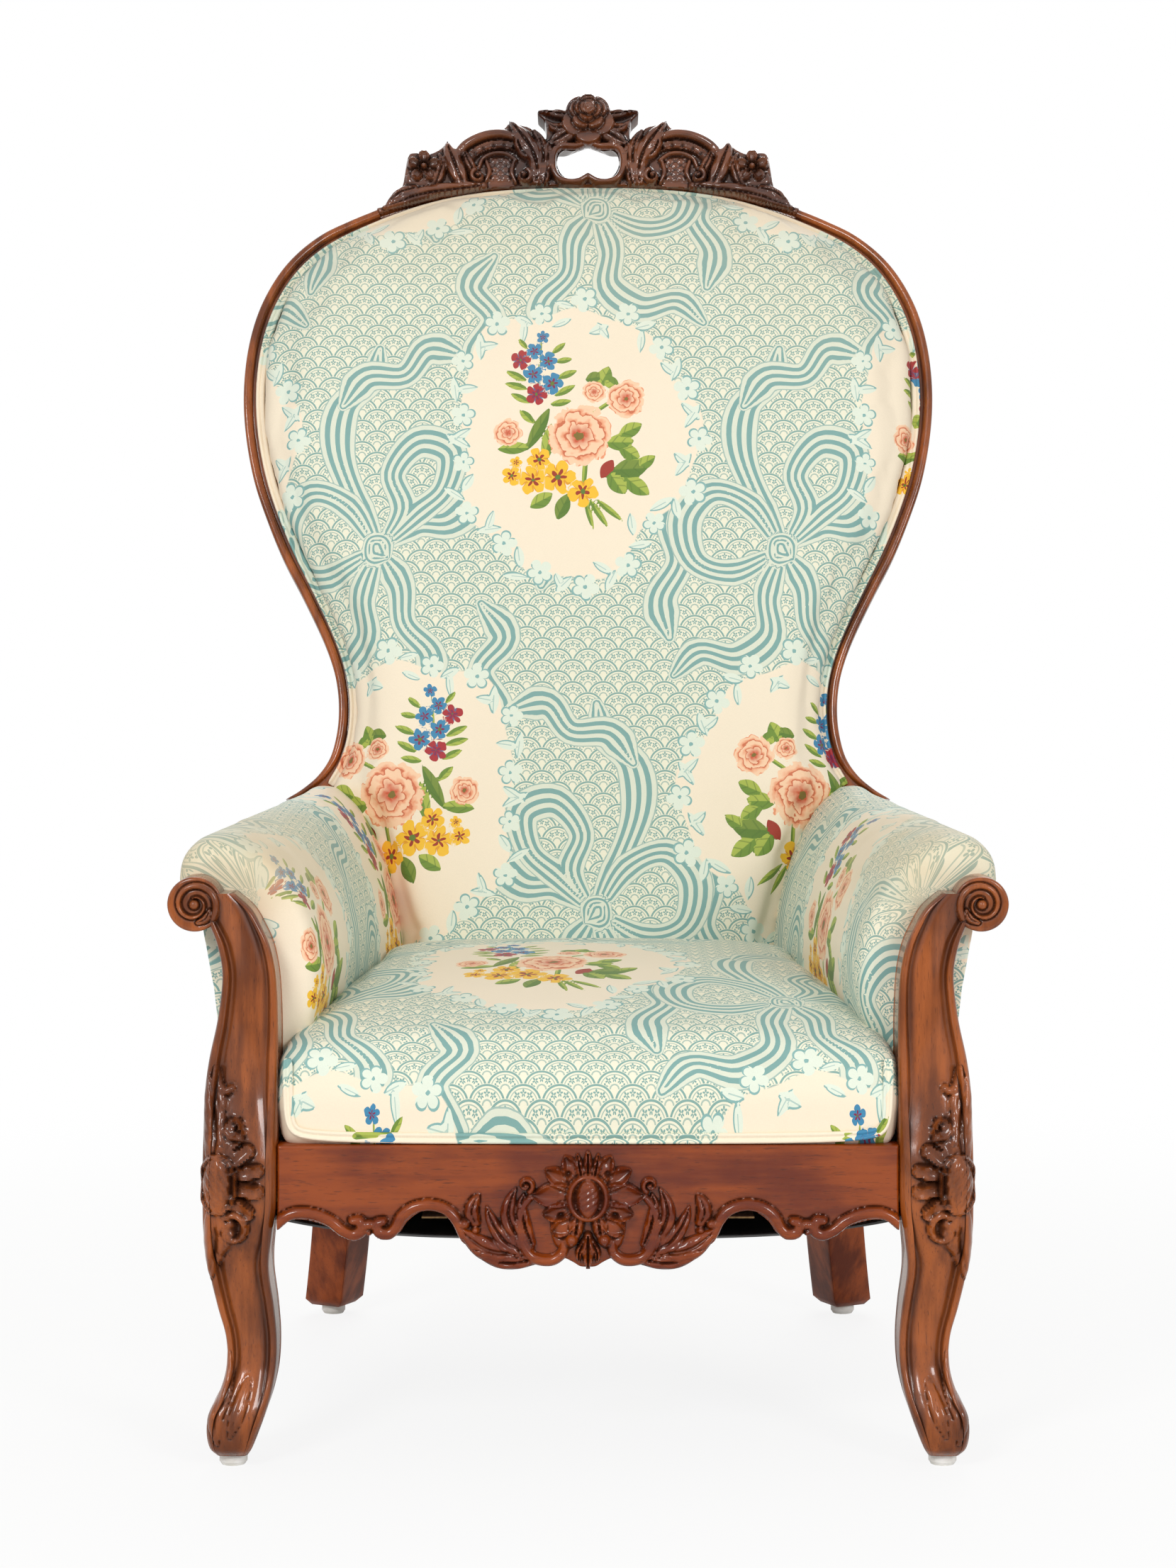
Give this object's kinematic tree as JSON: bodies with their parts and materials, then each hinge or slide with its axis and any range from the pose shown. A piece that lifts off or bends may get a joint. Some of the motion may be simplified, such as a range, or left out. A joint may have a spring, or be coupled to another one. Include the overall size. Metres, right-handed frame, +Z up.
{
  "type": "slipper chair",
  "caption": "Low upholstered armchair in a carved and pierced show-wood frame: spoon back, scrolled arm supports, cabriole front legs, sprung seat and flowered chintz with double welting",
  "frame": {"origin": "centre of the box round the chair, on the floor", "axes": "+Z up, -Y towards the front of the chair, +X to the right of the chair as seen from the front"},
  "size_m": [0.662, 0.7373, 1.1791],
  "materials": {
    "show_wood": "warm red-brown varnished walnut, satin to gloss, darker in the carving",
    "crest_wood": "dark red-brown varnished walnut",
    "frame_wood": "bare planed hardwood, out of sight",
    "screw_steel": "plain steel screws",
    "spring_steel": "drawn spring wire",
    "glide_plastic": "white nail-on glide",
    "jute": "jute webbing and hessian",
    "hair_stuffing": "curled hair under wadding",
    "chintz": "glazed cotton with blue-green ribbons, lace ground and bunches of flowers on cream",
    "black_cambric": "thin black cloth under the seat"
  },
  "bodies": {
    "root": {"front_leg_left": "show_wood", "front_leg_right": "show_wood", "rear_leg_left": "show_wood", "rear_leg_right": "show_wood", "front_rail": "show_wood", "apron_cartouche": "show_wood", "side_rail_left": "show_wood", "side_rail_right": "show_wood", "back_seat_rail": "frame_wood", "back_stile_left": "show_wood", "back_stile_right": "show_wood", "crest_rail": "crest_wood", "crest_rose": "crest_wood", "back_lower_rail": "frame_wood", "arm_rail_left": "frame_wood", "arm_rail_right": "frame_wood", "corner_blocks": "frame_wood", "block_screws": "screw_steel", "rail_dowels": "frame_wood", "glides": "glide_plastic", "seat_webbing": "jute", "seat_springs": "spring_steel", "spring_hessian": "jute", "seat_stuffing": "hair_stuffing", "seat_cover": "chintz", "seat_welt": "chintz", "dust_cover": "black_cambric", "back_webbing": "jute", "back_hessian": "jute", "back_stuffing": "hair_stuffing", "back_cover": "chintz", "back_welt": "chintz", "outer_back_cover": "chintz", "arm_stuffing_left": "hair_stuffing", "arm_stuffing_right": "hair_stuffing", "arm_cover_left": "chintz", "arm_cover_right": "chintz", "outer_arm_left": "chintz", "outer_arm_right": "chintz"}
  },
  "joints": []
}
